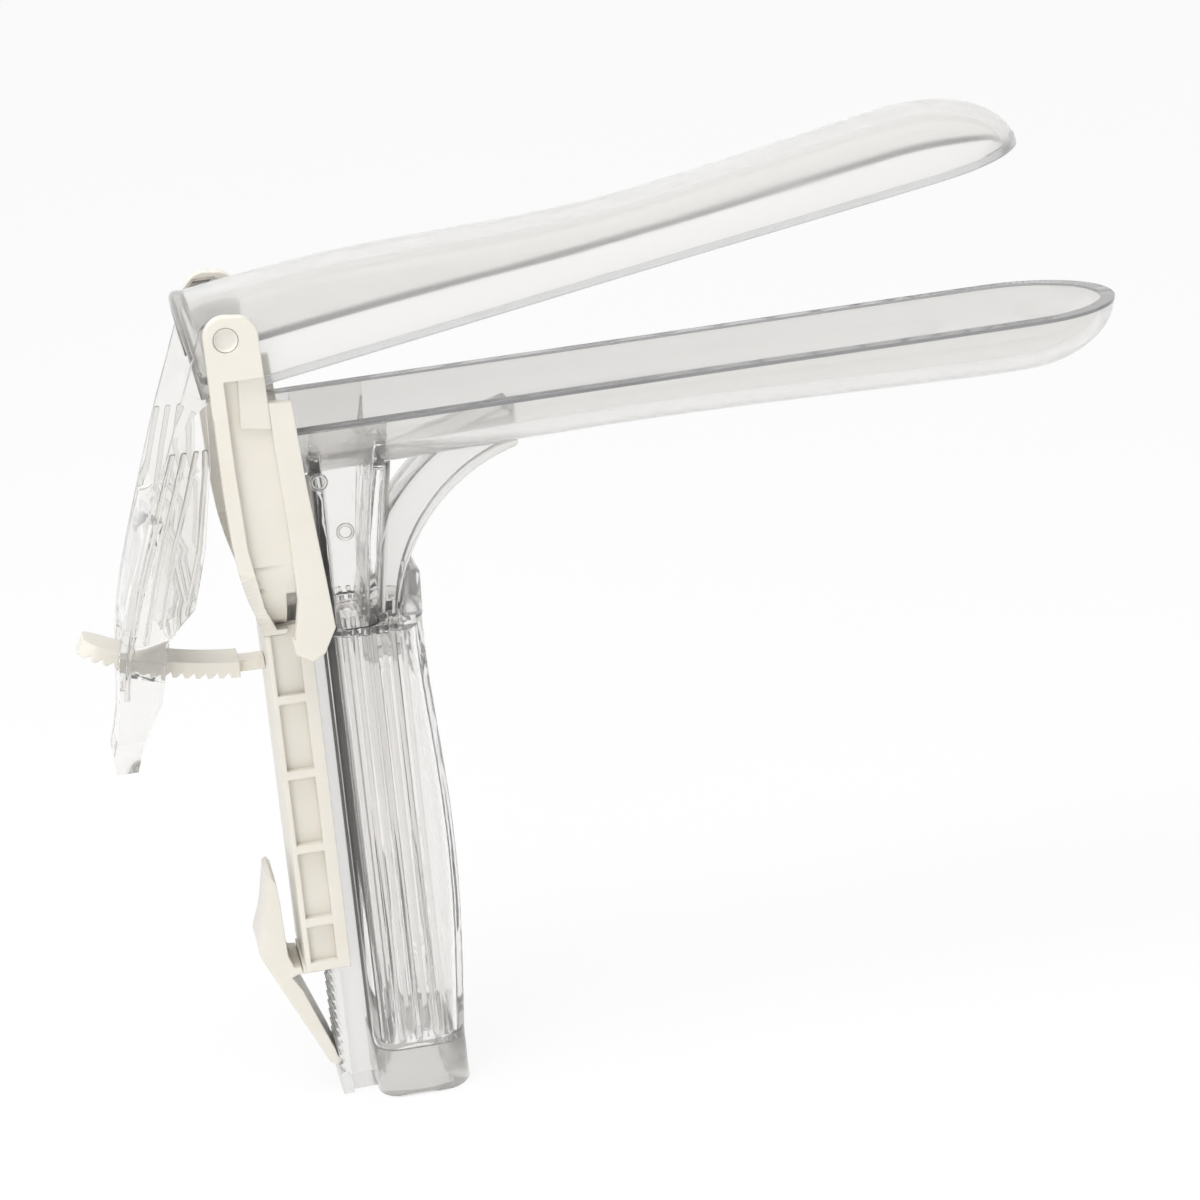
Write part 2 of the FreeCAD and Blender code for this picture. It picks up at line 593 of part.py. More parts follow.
NODES = {
    "handle_shell": handle_shell,
    "guide_rail": guide_rail,
    "neck_gusset": neck_gusset,
    "light_guide": light_guide,
    "lower_bill": lower_bill,
    "yoke_frame": yoke_frame,
    "slide_channel": slide_channel,
    "ratchet_strap": ratchet_strap,
    "release_latch": release_latch,
    "upper_bill": upper_bill,
    "thumb_lever": thumb_lever,
    "hinge_stubs": hinge_stubs,
}

os.makedirs("parts", exist_ok=True)
for name, build in NODES.items():
    shape = build()
    print(f"{name}: {len(shape.Solids)} solid, {shape.Volume:.0f} mm3, valid {shape.isValid()}")
    shape.exportStep(f"parts/{name}.step")
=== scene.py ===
"""Looks of a bivalve speculum: clear acrylic body and blade, with an ivory yoke.

Metres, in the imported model's own frame: +X towards the tips of the bills, +Y to the far side,
+Z up the handle, and the origin at the centre of the light socket's mouth.
"""
from __future__ import annotations

import logging
import math
from dataclasses import dataclass, field
from enum import Enum
from typing import Any, Callable, Iterable, Sequence

import bpy
from mathutils import Matrix, Vector

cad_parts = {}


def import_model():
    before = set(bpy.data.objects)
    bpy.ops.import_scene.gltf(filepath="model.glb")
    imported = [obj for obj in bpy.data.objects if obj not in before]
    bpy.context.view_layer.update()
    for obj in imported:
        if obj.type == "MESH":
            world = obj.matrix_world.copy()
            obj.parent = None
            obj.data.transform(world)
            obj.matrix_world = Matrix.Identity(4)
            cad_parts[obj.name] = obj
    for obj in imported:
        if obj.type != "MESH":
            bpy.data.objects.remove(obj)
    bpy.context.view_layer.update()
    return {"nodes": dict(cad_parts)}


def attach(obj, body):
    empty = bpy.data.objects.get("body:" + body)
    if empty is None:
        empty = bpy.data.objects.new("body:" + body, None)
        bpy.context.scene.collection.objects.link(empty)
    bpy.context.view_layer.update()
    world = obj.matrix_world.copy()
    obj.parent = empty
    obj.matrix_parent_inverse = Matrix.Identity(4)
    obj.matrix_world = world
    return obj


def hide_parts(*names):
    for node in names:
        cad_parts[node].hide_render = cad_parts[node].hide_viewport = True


LOG = logging.getLogger("speculum")
MM = 0.001
PIVOT = Vector((-16.5 * MM, 0.0, 119.7 * MM))
WHITE = (1.0, 1.0, 1.0, 1.0)
CLEAR_SLOT = "clear_plastic"
IVORY_SLOT = "ivory_plastic"
# Numbers of the sockets of a colour mix, whose names occur more than once on the node.
MIX_SHARE, MIX_FIRST, MIX_SECOND, MIX_RESULT = 0, 6, 7, 2
# How near a face's centre lies to the plane that it is looked for in, in millimetres.
SAME_PLANE = 0.01
# Creases sharper than this stay sharp on modelled pieces, in degrees.
CREASE = 40.0
# The part of a noise's values in which most of them lie.
NOISE_LOW, NOISE_HIGH = 0.3, 0.7
# Angles at which the rings of a bill's nose stand, in degrees from where it begins.
NOSE_STEPS = (15, 30, 45, 58, 69, 78, 86)
# Where the front panel of the yoke begins, forward of the hinge line, in millimetres.
PANEL_FRONT = 8.5


def at(forward: float, across: float, up: float) -> Vector:
    """A point in metres, given in millimetres from the hinge line."""
    return PIVOT + Vector((forward, across, up)) * MM


def linear(hex_colour: str) -> tuple[float, float, float, float]:
    """An sRGB hex colour as linear values.

    Args:
        hex_colour: Six hex digits, such as "F4F4F2".

    Returns:
        Red, green, blue and an alpha of 1.
    """
    channels = []
    for start in (0, 2, 4):
        value = int(hex_colour[start:start + 2], 16) / 255
        channels.append(value / 12.92 if value <= 0.04045 else ((value + 0.055) / 1.055) ** 2.4)
    return channels[0], channels[1], channels[2], 1.0


def add_node(tree: bpy.types.NodeTree, kind: str, settings: dict[str, Any] | None = None,
             links: dict[str | int, Any] | None = None) -> bpy.types.Node:
    """Add a node with its settings and its incoming links.

    Args:
        tree: The node tree.
        kind: The node's type name.
        settings: Attributes of the node, or values of its sockets by name or number.
        links: Output sockets, by the name or number of the input that they feed.

    Returns:
        The new node.
    """
    node = tree.nodes.new(kind)
    for key, value in (settings or {}).items():
        if isinstance(key, str) and hasattr(node, key):
            setattr(node, key, value)
        else:
            node.inputs[key].default_value = value
    for key, socket in (links or {}).items():
        tree.links.new(socket, node.inputs[key])
    return node


class Pick(Enum):
    """What of a mesh is selected."""

    FACES = "FACE"
    CORNERS = "VERT"


class Lay(Enum):
    """The direction in which a moulding's flow marks run."""

    ALONG_BILL = (0.05, 1.0, 1.0)
    ALONG_HANDLE = (1.0, 1.0, 0.05)
    EVEN = (1.0, 1.0, 1.0)


@dataclass(frozen=True)
class ClearAcrylic:
    """Injection-moulded acrylic: glossy and clear, with a faint milky haze and soft flow marks.

    The flow marks are drawn as deep as they need to be to show; the real ones are finer. Where
    a far tint is set, the tint turns into it from the near side to the far side: painted shade,
    which stands in for the dark side of the room that such an edge gathers.
    """

    name: str
    tint: str = "FBFAF8"
    clarity: float = 0.93
    roughness: float = 0.03
    ior: float = 1.49
    flow_mm: float = 6.0
    flow_depth_mm: float = 0.03
    flow_strength: float = 0.4
    lay: Lay = Lay.ALONG_BILL
    painted_far_tint: str = ""
    painted_shade_reach_mm: float = 6.0

    def build(self) -> bpy.types.Material:
        """Make the material, with its flow marks as bump and as a change of gloss.

        Returns:
            The material.
        """
        material = bpy.data.materials.new(self.name)
        material.use_nodes = True
        tree = material.node_tree
        tree.nodes.clear()
        place = add_node(tree, "ShaderNodeTexCoord")
        turned = add_node(tree, "ShaderNodeMapping", {"Scale": self.lay.value},
                          {"Vector": place.outputs["Object"]})
        flow = add_node(tree, "ShaderNodeTexNoise", {"Scale": 1 / (self.flow_mm * MM), "Detail": 2.0},
                        {"Vector": turned.outputs["Vector"]})
        gloss = add_node(tree, "ShaderNodeMapRange",
                         {"From Min": NOISE_LOW, "From Max": NOISE_HIGH, "To Min": self.roughness * 0.5,
                          "To Max": self.roughness * 1.5}, {"Value": flow.outputs["Fac"]})
        bump = add_node(tree, "ShaderNodeBump",
                        {"Strength": self.flow_strength, "Distance": self.flow_depth_mm * MM},
                        {"Height": flow.outputs["Fac"]})
        shader = add_node(tree, "ShaderNodeBsdfPrincipled",
                          {"Base Color": linear(self.tint), "IOR": self.ior,
                           "Transmission Weight": self.clarity},
                          {"Roughness": gloss.outputs["Result"], "Normal": bump.outputs["Normal"]})
        # Painted shade: the colour turns from the tint to the far tint across the object's Y, near side to
        # far side.
        if self.painted_far_tint:
            apart = add_node(tree, "ShaderNodeSeparateXYZ", None, {"Vector": place.outputs["Object"]})
            across = add_node(tree, "ShaderNodeMapRange",
                              {"From Min": -self.painted_shade_reach_mm * MM, "From Max": self.painted_shade_reach_mm * MM},
                              {"Value": apart.outputs["Y"]})
            turn = add_node(tree, "ShaderNodeMix",
                            {"data_type": "RGBA", MIX_FIRST: linear(self.tint),
                             MIX_SECOND: linear(self.painted_far_tint)}, {MIX_SHARE: across.outputs["Result"]})
            tree.links.new(turn.outputs[MIX_RESULT], shader.inputs["Base Color"])
        add_node(tree, "ShaderNodeOutputMaterial", None, {"Surface": shader.outputs["BSDF"]})
        return material


@dataclass(frozen=True)
class IvoryPolymer:
    """Injection-moulded ivory polymer: opaque and satin, with a waxy glow just under its skin.

    The real grain is too fine to show in the render, so it is drawn as coarse as it needs.
    """

    name: str
    colour: str = "E8E5DE"
    deep_colour: str = "DDD7CA"
    roughness: float = 0.38
    gloss_range: tuple[float, float] = (-0.06, 0.08)
    patch_mm: float = 14.0
    grain_mm: float = 0.6
    edge_mm: float = 0.3
    grain_strength: float = 0.15
    grain_depth_mm: float = 0.02
    ior: float = 1.49
    glow: float = 0.25
    glow_depth_mm: float = 0.8
    glow_spread: tuple[float, float, float] = (1.0, 0.8, 0.5)

    def build(self) -> bpy.types.Material:
        """Make the material, with faint colour patches and a fine moulded grain.

        Returns:
            The material.
        """
        material = bpy.data.materials.new(self.name)
        material.use_nodes = True
        tree = material.node_tree
        tree.nodes.clear()
        place = add_node(tree, "ShaderNodeTexCoord")
        patches = add_node(tree, "ShaderNodeTexNoise", {"Scale": 1 / (self.patch_mm * MM), "Detail": 3.0},
                           {"Vector": place.outputs["Object"]})
        colour = add_node(tree, "ShaderNodeMix",
                          {"data_type": "RGBA", MIX_FIRST: linear(self.colour),
                           MIX_SECOND: linear(self.deep_colour)}, {MIX_SHARE: patches.outputs["Fac"]})
        grain = add_node(tree, "ShaderNodeTexNoise", {"Scale": 1 / (self.grain_mm * MM), "Detail": 1.0},
                         {"Vector": place.outputs["Object"]})
        gloss = add_node(tree, "ShaderNodeMapRange",
                         {"From Min": NOISE_LOW, "From Max": NOISE_HIGH,
                          "To Min": self.roughness + self.gloss_range[0],
                          "To Max": self.roughness + self.gloss_range[1]}, {"Value": grain.outputs["Fac"]})
        edge = add_node(tree, "ShaderNodeBevel", {"samples": 6, "Radius": self.edge_mm * MM})
        bump = add_node(tree, "ShaderNodeBump",
                        {"Strength": self.grain_strength, "Distance": self.grain_depth_mm * MM},
                        {"Height": grain.outputs["Fac"], "Normal": edge.outputs["Normal"]})
        shader = add_node(tree, "ShaderNodeBsdfPrincipled",
                          {"IOR": self.ior, "Subsurface Weight": self.glow,
                           "Subsurface Scale": self.glow_depth_mm * MM,
                           "Subsurface Radius": self.glow_spread},
                          {"Base Color": colour.outputs[MIX_RESULT], "Roughness": gloss.outputs["Result"],
                           "Normal": bump.outputs["Normal"]})
        add_node(tree, "ShaderNodeOutputMaterial", None, {"Surface": shader.outputs["BSDF"]})
        return material


@dataclass(frozen=True)
class Lamp:
    """A soft square lamp. Clear pieces neither mirror it nor show it through their walls."""

    name: str
    place_mm: tuple[float, float, float]
    size_mm: float
    watts: float

    def hang(self, target: Vector) -> None:
        """Hang the lamp so that it points at the object.

        Args:
            target: The point that it faces, in metres.
        """
        data = bpy.data.lights.new(self.name, "AREA")
        data.size = self.size_mm * MM
        data.energy = self.watts
        lamp = bpy.data.objects.new(self.name, data)
        bpy.context.scene.collection.objects.link(lamp)
        lamp.visible_glossy = False
        lamp.visible_transmission = False
        lamp.location = Vector(self.place_mm) * MM
        lamp.rotation_euler = (target - lamp.location).to_track_quat("-Z", "Y").to_euler()


@dataclass
class Studio:
    """White floor, soft light and the camera at the photograph's angle.

    The flags are the dark surroundings that only glass sees: at full strength at both ends, and
    at front_weight on the side of the photograph's camera. Each fades in between two values of
    the world direction, along Y for the front and along X for the ends. As light, floor and world
    are weaker than as background.
    """

    target: Vector = field(default_factory=lambda: Vector((34.8, 0.0, 69.6)) * MM)
    azimuth: float = -9.7
    elevation: float = 17.3
    distance_mm: float = 500.0
    roll: float = -5.35
    lens_mm: float = 101.2
    sensor_mm: float = 36.0
    floor_half_m: float = 3.5
    floor_drop_mm: float = 0.2
    floor_tint: str = "FDFDFD"
    floor_glow: float = 0.9
    floor_glow_as_light: float = 0.2
    world_as_light: float = 0.5
    flag_tint: str = "98989A"
    front_flag: tuple[float, float] = (-0.1, -0.5)
    front_weight: float = 0.35
    end_flags: tuple[float, float] = (0.8, 0.93)
    lamps: tuple[Lamp, ...] = (Lamp("key", (-150.0, -120.0, 640.0), 300.0, 2.5),
                               Lamp("fill", (-250.0, -480.0, 300.0), 300.0, 0.75))

    def set_camera(self) -> None:
        """Add the camera and make it the scene's own."""
        turn, lift, roll = (math.radians(v) for v in (self.azimuth, self.elevation, self.roll))
        back = Vector((math.sin(turn) * math.cos(lift), -math.cos(turn) * math.cos(lift), math.sin(lift)))
        right = Vector((0, 0, 1)).cross(back).normalized()
        up = back.cross(right)
        rolled_right = right * math.cos(roll) + up * math.sin(roll)
        rolled_up = up * math.cos(roll) - right * math.sin(roll)
        camera = bpy.data.objects.new("camera", bpy.data.cameras.new("camera"))
        bpy.context.scene.collection.objects.link(camera)
        camera.data.lens = self.lens_mm
        camera.data.sensor_width = self.sensor_mm
        camera.data.clip_start = 0.01
        place = Matrix((rolled_right, rolled_up, back)).transposed().to_4x4()
        place.translation = self.target + back * self.distance_mm * MM
        camera.matrix_world = place
        bpy.context.scene.camera = camera

    def set_world(self) -> None:
        """White to the eye and as light; glass also sees the flags."""
        world = bpy.data.worlds.new("studio")
        bpy.context.scene.world = world
        world.use_nodes = True
        tree = world.node_tree
        tree.nodes.clear()
        place = add_node(tree, "ShaderNodeTexCoord")
        axes = add_node(tree, "ShaderNodeSeparateXYZ", None, {"Vector": place.outputs["Generated"]})
        front = add_node(tree, "ShaderNodeMapRange",
                         {"interpolation_type": "SMOOTHSTEP", "From Min": self.front_flag[0],
                          "From Max": self.front_flag[1]},
                         {"Value": axes.outputs["Y"]})
        sideways = add_node(tree, "ShaderNodeMath", {"operation": "ABSOLUTE"}, {0: axes.outputs["X"]})
        ends = add_node(tree, "ShaderNodeMapRange",
                        {"interpolation_type": "SMOOTHSTEP", "From Min": self.end_flags[0],
                         "From Max": self.end_flags[1]},
                        {"Value": sideways.outputs["Value"]})
        soft_front = add_node(tree, "ShaderNodeMath", {"operation": "MULTIPLY", 1: self.front_weight},
                              {0: front.outputs["Result"]})
        flags = add_node(tree, "ShaderNodeMath", {"operation": "MAXIMUM"},
                         {0: soft_front.outputs["Value"], 1: ends.outputs["Result"]})
        seen = add_node(tree, "ShaderNodeMix",
                        {"data_type": "RGBA", MIX_FIRST: WHITE, MIX_SECOND: linear(self.flag_tint)},
                        {MIX_SHARE: flags.outputs["Value"]})
        rays = add_node(tree, "ShaderNodeLightPath")
        through = add_node(tree, "ShaderNodeMath", {"operation": "MAXIMUM"},
                           {0: rays.outputs["Is Glossy Ray"], 1: rays.outputs["Is Transmission Ray"]})
        colour = add_node(tree, "ShaderNodeMix", {"data_type": "RGBA", MIX_FIRST: WHITE},
                          {MIX_SHARE: through.outputs["Value"], MIX_SECOND: seen.outputs[MIX_RESULT]})
        strength = add_node(tree, "ShaderNodeMapRange", {"To Min": 1.0, "To Max": self.world_as_light},
                            {"Value": rays.outputs["Is Diffuse Ray"]})
        light = add_node(tree, "ShaderNodeBackground", None,
                         {"Color": colour.outputs[MIX_RESULT], "Strength": strength.outputs["Result"]})
        add_node(tree, "ShaderNodeOutputWorld", None, {"Surface": light.outputs["Background"]})

    def add_floor(self) -> None:
        """A white floor that keeps the object's shadow."""
        bpy.ops.object.select_all(action="DESELECT")
        bpy.ops.mesh.primitive_plane_add(size=2 * self.floor_half_m,
                                         location=(0, 0, -self.floor_drop_mm * MM))
        floor = bpy.context.object
        floor.name = "floor"
        material = bpy.data.materials.new("white_floor")
        material.use_nodes = True
        tree = material.node_tree
        tree.nodes.clear()
        matt = add_node(tree, "ShaderNodeBsdfDiffuse", {"Color": linear(self.floor_tint)})
        glow = add_node(tree, "ShaderNodeEmission", {"Color": WHITE, "Strength": 1.0})
        rays = add_node(tree, "ShaderNodeLightPath")
        share = add_node(tree, "ShaderNodeMapRange",
                         {"To Min": self.floor_glow, "To Max": self.floor_glow_as_light},
                         {"Value": rays.outputs["Is Diffuse Ray"]})
        mixed = add_node(tree, "ShaderNodeMixShader", None,
                         {0: share.outputs["Result"], 1: matt.outputs["BSDF"], 2: glow.outputs["Emission"]})
        add_node(tree, "ShaderNodeOutputMaterial", None, {"Surface": mixed.outputs["Shader"]})
        floor.data.materials.append(material)

    def build(self) -> None:
        """Set up camera, world, floor and lamps."""
        self.set_camera()
        self.set_world()
        self.add_floor()
        for lamp in self.lamps:
            lamp.hang(self.target)
        bpy.context.scene.view_settings.view_transform = "Standard"
        LOG.info("studio with %d lamps", len(self.lamps))


def dress(target: bpy.types.Object, material: bpy.types.Material) -> None:
    """Give an object one material."""
    target.data.materials.clear()
    target.data.materials.append(material)


class Bench:
    """Edit-mode work on one mesh at a time, by operators."""

    @staticmethod
    def deselect() -> None:
        """Leave object mode with nothing selected."""
        if bpy.context.mode != "OBJECT":
            bpy.ops.object.mode_set(mode="OBJECT")
        bpy.ops.object.select_all(action="DESELECT")

    @staticmethod
    def take(piece: bpy.types.Object) -> None:
        """Make a piece the only one selected, and active.

        Args:
            piece: The mesh object.
        """
        Bench.deselect()
        piece.select_set(True)
        bpy.context.view_layer.objects.active = piece

    @staticmethod
    def pick(piece: bpy.types.Object, test: Callable[[Vector], bool], kind: Pick = Pick.FACES) -> None:
        """Enter edit mode with the faces or corners selected that pass a test.

        Args:
            piece: The mesh object.
            test: Takes a face's centre or a corner, in metres.
            kind: What is selected.
        """
        Bench.take(piece)
        mesh = piece.data
        bpy.ops.object.mode_set(mode="EDIT")
        bpy.ops.mesh.select_mode(type=kind.value)
        bpy.ops.mesh.select_all(action="DESELECT")
        bpy.ops.object.mode_set(mode="OBJECT")
        if kind is Pick.FACES:
            for face in mesh.polygons:
                face.select = test(face.center)
        else:
            for corner in mesh.vertices:
                corner.select = test(corner.co)
        bpy.ops.object.mode_set(mode="EDIT")

    @staticmethod
    def apply(piece: bpy.types.Object, kind: str, **settings: Any) -> None:
        """Add a modifier and apply it.

        Args:
            piece: The mesh object.
            kind: The modifier's type.
            settings: Its settings by name.
        """
        Bench.take(piece)
        modifier = piece.modifiers.new(kind.lower(), kind)
        for key, value in settings.items():
            setattr(modifier, key, value)
        bpy.ops.object.modifier_apply(modifier=modifier.name)

    @staticmethod
    def round_edges(piece: bpy.types.Object, width: float, segments: int, angle: float = 30.0) -> None:
        """Round the edges that are sharper than an angle in degrees; the width is in millimetres."""
        Bench.apply(piece, "BEVEL", width=width * MM, segments=segments, limit_method="ANGLE",
                    angle_limit=math.radians(angle))

    @staticmethod
    def weld(distance: float) -> None:
        """In edit mode, merge corners that lie close together, and leave edit mode.

        Args:
            distance: How close, in millimetres.
        """
        bpy.ops.mesh.select_all(action="SELECT")
        bpy.ops.mesh.remove_doubles(threshold=distance * MM)
        bpy.ops.mesh.dissolve_degenerate(threshold=distance * MM)
        bpy.ops.object.mode_set(mode="OBJECT")

    @staticmethod
    def settle(piece: bpy.types.Object, name: str) -> bpy.types.Object:
        """Name a piece and put its place, turn and scale into its mesh.

        Args:
            piece: The mesh object.
            name: Its new name.

        Returns:
            The piece.
        """
        Bench.take(piece)
        bpy.ops.object.transform_apply(location=True, rotation=True, scale=True)
        piece.name = name
        piece.data.name = name
        return piece

    @staticmethod
    def smooth(piece: bpy.types.Object, degrees: float = CREASE) -> None:
        """Shade smooth, with creases above an angle."""
        Bench.take(piece)
        bpy.ops.object.shade_smooth_by_angle(angle=math.radians(degrees))

    @staticmethod
    def copy_of(source: bpy.types.Object, shift: Vector) -> bpy.types.Object:
        """Copy a piece together with its mesh.

        Args:
            source: The settled piece.
            shift: Where the copy goes, in metres.

        Returns:
            The copy.
        """
        twin = bpy.data.objects.new(source.name, source.data.copy())
        bpy.context.scene.collection.objects.link(twin)
        twin.location = shift
        return twin

    @staticmethod
    def join(pieces: Sequence[bpy.types.Object], name: str) -> bpy.types.Object:
        """Join settled pieces into the first one.

        Args:
            pieces: The pieces.
            name: The name of what they make.

        Returns:
            The joined piece.
        """
        Bench.take(pieces[0])
        for piece in pieces[1:]:
            piece.select_set(True)
        bpy.ops.object.join()
        return Bench.settle(pieces[0], name)


def tip_up(piece: bpy.types.Object, tilt: float, drop: float) -> None:
    """Turn a piece that lies along +X up by degrees, and hang it below the hinge line by millimetres."""
    piece.rotation_euler = (0, -math.radians(tilt), 0)
    piece.location = at(0, 0, -drop)


def finish_piece(piece: bpy.types.Object, body: str, material: bpy.types.Material,
                 nodes: Sequence[str] = ()) -> bpy.types.Object:
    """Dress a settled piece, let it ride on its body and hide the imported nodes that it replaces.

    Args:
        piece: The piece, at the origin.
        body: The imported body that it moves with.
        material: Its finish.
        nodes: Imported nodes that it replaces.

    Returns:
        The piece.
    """
    dress(piece, material)
    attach(piece, body)
    if nodes:
        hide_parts(*nodes)
    LOG.info("%s rides on %s, %d faces", piece.name, body, len(piece.data.polygons))
    return piece


@dataclass
class Bill:
    """A trough with a rounded nose, drawn ring by ring along its axis.

    Millimetres and degrees. Each station is a distance along the axis, half the width and the
    depth. An upward bill is a dome, open below; the other one is open above.
    """

    name: str
    body: str
    node: str
    stations: Sequence[tuple[float, float, float]]
    upward: bool
    tilt: float
    drop: float
    wall: float = 1.8
    nose: float = 15.0
    rim_height: float = 0.5
    rim_swell: float = 0.12
    weld: float = 0.004
    sides: int = 36
    levels: int = 2

    def draw_tube(self) -> bpy.types.Object:
        """Extrude a closed tube station by station, whose end shrinks to the tip.

        Returns:
            The tube, along +X.
        """
        along, wide, deep = self.stations[0]
        Bench.deselect()
        bpy.ops.mesh.primitive_circle_add(vertices=self.sides, radius=MM, fill_type="NOTHING",
                                          rotation=(0, math.pi / 2, 0))
        tube = bpy.context.object
        bpy.ops.object.transform_apply(location=False, rotation=True, scale=False)
        bpy.ops.object.mode_set(mode="EDIT")
        bpy.ops.mesh.select_all(action="SELECT")
        bpy.ops.transform.resize(value=(1, wide, deep), center_override=(0, 0, 0))
        bpy.ops.transform.translate(value=(along * MM, 0, 0))
        rings = list(self.stations[1:])
        end, full_wide, full_deep = self.stations[-1]
        for degrees in NOSE_STEPS:
            turn = math.radians(degrees)
            rings.append((end + self.nose * math.sin(turn), full_wide * math.cos(turn),
                          full_deep * math.cos(turn)))
        for next_along, next_wide, next_deep in rings:
            bpy.ops.mesh.extrude_region_move(
                TRANSFORM_OT_translate={"value": ((next_along - along) * MM, 0, 0)})
            bpy.ops.transform.resize(value=(1, next_wide / wide, next_deep / deep),
                                     center_override=(next_along * MM, 0, 0))
            along, wide, deep = next_along, next_wide, next_deep
        bpy.ops.mesh.merge(type="CENTER")
        bpy.ops.mesh.select_all(action="SELECT")
        bpy.ops.mesh.normals_make_consistent(inside=False)
        bpy.ops.object.mode_set(mode="OBJECT")
        return tube

    def build(self, material: bpy.types.Material) -> bpy.types.Object:
        """Keep half of the tube, give it its wall and put it in place.

        Args:
            material: The finish.

        Returns:
            The piece.
        """
        shell = self.draw_tube()
        Bench.apply(shell, "SUBSURF", levels=self.levels, render_levels=self.levels)
        bpy.ops.object.mode_set(mode="EDIT")
        bpy.ops.mesh.select_all(action="SELECT")
        bpy.ops.mesh.bisect(plane_co=(0, 0, 0), plane_no=(0, 0, 1), clear_outer=not self.upward,
                            clear_inner=self.upward, threshold=self.weld * MM)
        Bench.weld(self.weld)
        Bench.apply(shell, "SOLIDIFY", thickness=self.wall * MM, offset=-1.0, use_even_offset=True)
        tip_up(shell, self.tilt, self.drop)
        Bench.settle(shell, self.name)
        Bench.smooth(shell)
        return finish_piece(shell, self.body, material, (self.node,))

    def build_rim(self, material: bpy.types.Material) -> bpy.types.Object:
        """Cut the strip along the rim, whose tint paints the shade line in which the light that runs up the
        wall ends.

        Args:
            material: The finish.

        Returns:
            The piece.
        """
        bead = self.draw_tube()
        Bench.apply(bead, "SUBSURF", levels=self.levels, render_levels=self.levels)
        top = self.rim_height * MM * (1 if self.upward else -1)
        bpy.ops.object.mode_set(mode="EDIT")
        for height, keep_above in ((0.0, self.upward), (top, not self.upward)):
            bpy.ops.mesh.select_all(action="SELECT")
            bpy.ops.mesh.bisect(plane_co=(0, 0, height), plane_no=(0, 0, 1), clear_outer=not keep_above,
                                clear_inner=keep_above, threshold=self.weld * MM)
        Bench.weld(self.weld)
        Bench.apply(bead, "SOLIDIFY", thickness=(self.wall + 2 * self.rim_swell) * MM,
                    offset=-self.wall / (self.wall + 2 * self.rim_swell), use_even_offset=True)
        tip_up(bead, self.tilt, self.drop)
        Bench.settle(bead, self.name + "_rim")
        Bench.smooth(bead)
        return finish_piece(bead, self.body, material)


def lower_bill() -> Bill:
    """Describe the lower bill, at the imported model's sizes.

    Returns:
        The bill.
    """
    return Bill("lower_trough", "handle", "lower_bill", (
        (4.8, 14.0, 9.0), (26.1, 14.0, 9.1), (58.0, 13.6, 8.3), (93.6, 14.0, 9.4),
        (111.3, 14.0, 9.9), (117.3, 14.0, 9.9)), False, 0.8, 15.2)


def upper_bill() -> Bill:
    """Describe the upper bill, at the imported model's sizes.

    Returns:
        The bill.
    """
    return Bill("upper_trough", "upper_blade", "upper_bill", (
        (-3.5, 15.4, 12.6), (17.4, 15.4, 12.6), (37.7, 15.4, 10.1), (58.0, 15.0, 7.6),
        (86.1, 15.4, 8.4), (98.9, 15.4, 8.9), (104.9, 15.4, 8.9)), True, 9.4, 8.3, rim_height=1.1)


@dataclass
class MouldedPart:
    """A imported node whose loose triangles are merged, so that its curved walls shade smoothly.

    Triangles thinner than thin, in millimetres, go: their shading normals can point the wrong way.
    """

    node: str
    body: str
    crease: float = 30.0
    panel_back: float = 0.0
    thin: float = 0.0
    weld: float = 0.002

    def build(self, source: bpy.types.Object, slot: str, material: bpy.types.Material) -> bpy.types.Object:
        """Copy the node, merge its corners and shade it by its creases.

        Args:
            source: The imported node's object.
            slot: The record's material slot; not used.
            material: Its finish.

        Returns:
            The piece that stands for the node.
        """
        piece = bpy.data.objects.new(self.node + "_moulded", source.data.copy())
        bpy.context.scene.collection.objects.link(piece)
        Bench.take(piece)
        bpy.ops.object.mode_set(mode="EDIT")
        bpy.ops.mesh.select_all(action="SELECT")
        bpy.ops.mesh.remove_doubles(threshold=self.weld * MM)
        if self.thin:
            bpy.ops.mesh.dissolve_degenerate(threshold=self.thin * MM)
        bpy.ops.object.mode_set(mode="OBJECT")
        if self.panel_back:
            front = at(PANEL_FRONT, 0, 0).x
            Bench.pick(piece, lambda corner: corner.x > front, Pick.CORNERS)
            bpy.ops.transform.translate(value=(-self.panel_back * MM, 0, 0))
            bpy.ops.object.mode_set(mode="OBJECT")
        Bench.settle(piece, self.node + "_moulded")
        Bench.smooth(piece, self.crease)
        return finish_piece(piece, self.body, material, (self.node,))


